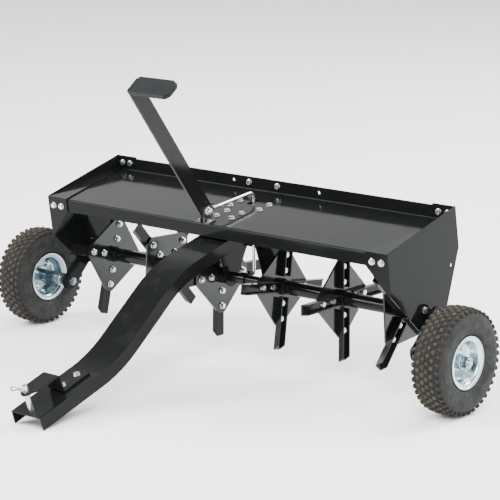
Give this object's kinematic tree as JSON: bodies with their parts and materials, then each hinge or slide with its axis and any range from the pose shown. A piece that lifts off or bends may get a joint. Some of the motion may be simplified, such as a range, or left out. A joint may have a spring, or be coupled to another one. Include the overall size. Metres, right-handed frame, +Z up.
{
  "type": "tow-behind lawn aerator",
  "caption": "Tow-behind plug aerator: steel weight tray on wheels, free-turning tine stars on a cross shaft, a transport lever and a bent channel tow bar with a pin hitch.",
  "frame": {"origin": "middle of the footprint, on the ground under the machine as it rests on its wheels and hitch end", "axes": "+X across the machine to its right as seen from the tow bar's end, -Y in the towing direction, +Z up"},
  "size_m": [1.4, 0.9342, 0.7348],
  "materials": {
    "tray": "gloss black paint",
    "end_panel_left": "gloss black paint",
    "end_panel_right": "gloss black paint",
    "tow_bar": "gloss black paint",
    "bar_saddle": "gloss black paint",
    "center_hanger": "gloss black paint",
    "hitch_strap": "gloss black paint",
    "lever_bracket": "gloss black paint",
    "lever_pivot_bolt": "zinc plated",
    "bearing_left": "black paint over steel",
    "bearing_right": "black paint over steel",
    "panel_bolts": "zinc plated",
    "bar_bolts": "zinc plated",
    "hanger_bolts": "zinc plated",
    "bearing_bolts": "zinc plated",
    "hitch_bolts": "zinc plated",
    "bracket_bolts": "zinc plated",
    "wall_bolts": "zinc plated",
    "cross_shaft": "black paint over steel",
    "shaft_crank": "gloss black paint",
    "shaft_spacers": "black paint over steel",
    "shaft_bolts": "zinc plated",
    "wheel_arm_left": "gloss black paint",
    "axle_bolt_left": "zinc plated",
    "wheel_arm_right": "gloss black paint",
    "axle_bolt_right": "zinc plated",
    "lever": "gloss black paint",
    "lever_grip": "dipped vinyl",
    "lift_rod": "zinc plated",
    "hitch_pin": "zinc plated",
    "hitch_clip": "zinc plated",
    "hub_left": "zinc plated",
    "rim_inner_left": "zinc plated",
    "rim_outer_left": "zinc plated",
    "rim_bolts_left": "zinc plated",
    "tyre_left": "worn brown-black rubber",
    "hub_right": "zinc plated",
    "rim_inner_right": "zinc plated",
    "rim_outer_right": "zinc plated",
    "rim_bolts_right": "zinc plated",
    "tyre_right": "worn brown-black rubber",
    "star_plate_1": "gloss black paint",
    "star_tines_1": "gloss black paint",
    "star_bolts_1": "zinc plated",
    "star_plate_2": "gloss black paint",
    "star_tines_2": "gloss black paint",
    "star_bolts_2": "zinc plated",
    "star_plate_3": "gloss black paint",
    "star_tines_3": "gloss black paint",
    "star_bolts_3": "zinc plated",
    "star_plate_4": "gloss black paint",
    "star_tines_4": "gloss black paint",
    "star_bolts_4": "zinc plated",
    "star_plate_5": "gloss black paint",
    "star_tines_5": "gloss black paint",
    "star_bolts_5": "zinc plated",
    "star_plate_6": "gloss black paint",
    "star_tines_6": "gloss black paint",
    "star_bolts_6": "zinc plated"
  },
  "bodies": {
    "chassis": {"tray": "tray", "end_panel_left": "end_panel_left", "end_panel_right": "end_panel_right", "tow_bar": "tow_bar", "bar_saddle": "bar_saddle", "center_hanger": "center_hanger", "hitch_strap": "hitch_strap", "lever_bracket": "lever_bracket", "lever_pivot_bolt": "lever_pivot_bolt", "bearing_left": "bearing_left", "bearing_right": "bearing_right", "panel_bolts": "panel_bolts", "bar_bolts": "bar_bolts", "hanger_bolts": "hanger_bolts", "bearing_bolts": "bearing_bolts", "hitch_bolts": "hitch_bolts", "bracket_bolts": "bracket_bolts", "wall_bolts": "wall_bolts"},
    "lift_axle": {"cross_shaft": "cross_shaft", "shaft_crank": "shaft_crank", "shaft_spacers": "shaft_spacers", "shaft_bolts": "shaft_bolts", "wheel_arm_left": "wheel_arm_left", "axle_bolt_left": "axle_bolt_left", "wheel_arm_right": "wheel_arm_right", "axle_bolt_right": "axle_bolt_right"},
    "lever": {"lever": "lever", "lever_grip": "lever_grip"},
    "lift_rod": {"lift_rod": "lift_rod"},
    "hitch_pin": {"hitch_pin": "hitch_pin"},
    "hitch_clip": {"hitch_clip": "hitch_clip"},
    "wheel_left": {"hub_left": "hub_left", "rim_inner_left": "rim_inner_left", "rim_outer_left": "rim_outer_left", "rim_bolts_left": "rim_bolts_left", "tyre_left": "tyre_left"},
    "wheel_right": {"hub_right": "hub_right", "rim_inner_right": "rim_inner_right", "rim_outer_right": "rim_outer_right", "rim_bolts_right": "rim_bolts_right", "tyre_right": "tyre_right"},
    "star_1": {"star_plate_1": "star_plate_1", "star_tines_1": "star_tines_1", "star_bolts_1": "star_bolts_1"},
    "star_2": {"star_plate_2": "star_plate_2", "star_tines_2": "star_tines_2", "star_bolts_2": "star_bolts_2"},
    "star_3": {"star_plate_3": "star_plate_3", "star_tines_3": "star_tines_3", "star_bolts_3": "star_bolts_3"},
    "star_4": {"star_plate_4": "star_plate_4", "star_tines_4": "star_tines_4", "star_bolts_4": "star_bolts_4"},
    "star_5": {"star_plate_5": "star_plate_5", "star_tines_5": "star_tines_5", "star_bolts_5": "star_bolts_5"},
    "star_6": {"star_plate_6": "star_plate_6", "star_tines_6": "star_tines_6", "star_bolts_6": "star_bolts_6"}
  },
  "joints": [
    {"name": "axle_lift", "type": "hinge", "parent": "chassis", "child": "lift_axle", "pos_m": [0, 0.31171, 0.19631], "axis": [1, 0, 0], "range_deg": [-58, 0]},
    {"name": "lever_swing", "type": "hinge", "parent": "chassis", "child": "lever", "pos_m": [-0.02, 0.16876, 0.38829], "axis": [1, 0, 0], "range_deg": [-58, 0]},
    {"name": "rod_swing", "type": "hinge", "parent": "lever", "child": "lift_rod", "pos_m": [-0.02, 0.18937, 0.396], "axis": [1, 0, 0], "range_deg": [0, 58]},
    {"name": "hitch_pin_pull", "type": "slide", "parent": "chassis", "child": "hitch_pin", "axis": [0, -0.3057, 0.9521], "range_m": [0, 0.08]},
    {"name": "clip_pull", "type": "slide", "parent": "hitch_pin", "child": "hitch_clip", "axis": [-1, 0, 0], "range_m": [0, 0.03]},
    {"name": "wheel_left_spin", "type": "hinge", "parent": "lift_axle", "child": "wheel_left", "pos_m": [-0.658, 0.24046, 0.125], "axis": [1, 0, 0], "continuous": true},
    {"name": "wheel_right_spin", "type": "hinge", "parent": "lift_axle", "child": "wheel_right", "pos_m": [0.658, 0.24046, 0.125], "axis": [1, 0, 0], "continuous": true},
    {"name": "star_1_spin", "type": "hinge", "parent": "lift_axle", "child": "star_1", "pos_m": [-0.461, 0.31171, 0.19631], "axis": [1, 0, 0], "continuous": true},
    {"name": "star_2_spin", "type": "hinge", "parent": "lift_axle", "child": "star_2", "pos_m": [-0.2785, 0.31171, 0.19631], "axis": [1, 0, 0], "continuous": true},
    {"name": "star_3_spin", "type": "hinge", "parent": "lift_axle", "child": "star_3", "pos_m": [-0.096, 0.31171, 0.19631], "axis": [1, 0, 0], "continuous": true},
    {"name": "star_4_spin", "type": "hinge", "parent": "lift_axle", "child": "star_4", "pos_m": [0.096, 0.31171, 0.19631], "axis": [1, 0, 0], "continuous": true},
    {"name": "star_5_spin", "type": "hinge", "parent": "lift_axle", "child": "star_5", "pos_m": [0.2785, 0.31171, 0.19631], "axis": [1, 0, 0], "continuous": true},
    {"name": "star_6_spin", "type": "hinge", "parent": "lift_axle", "child": "star_6", "pos_m": [0.461, 0.31171, 0.19631], "axis": [1, 0, 0], "continuous": true}
  ],
  "couplings": [
    {"joint": "lever_swing", "follows": "axle_lift", "ratio": 1},
    {"joint": "rod_swing", "follows": "axle_lift", "ratio": -1}
  ]
}
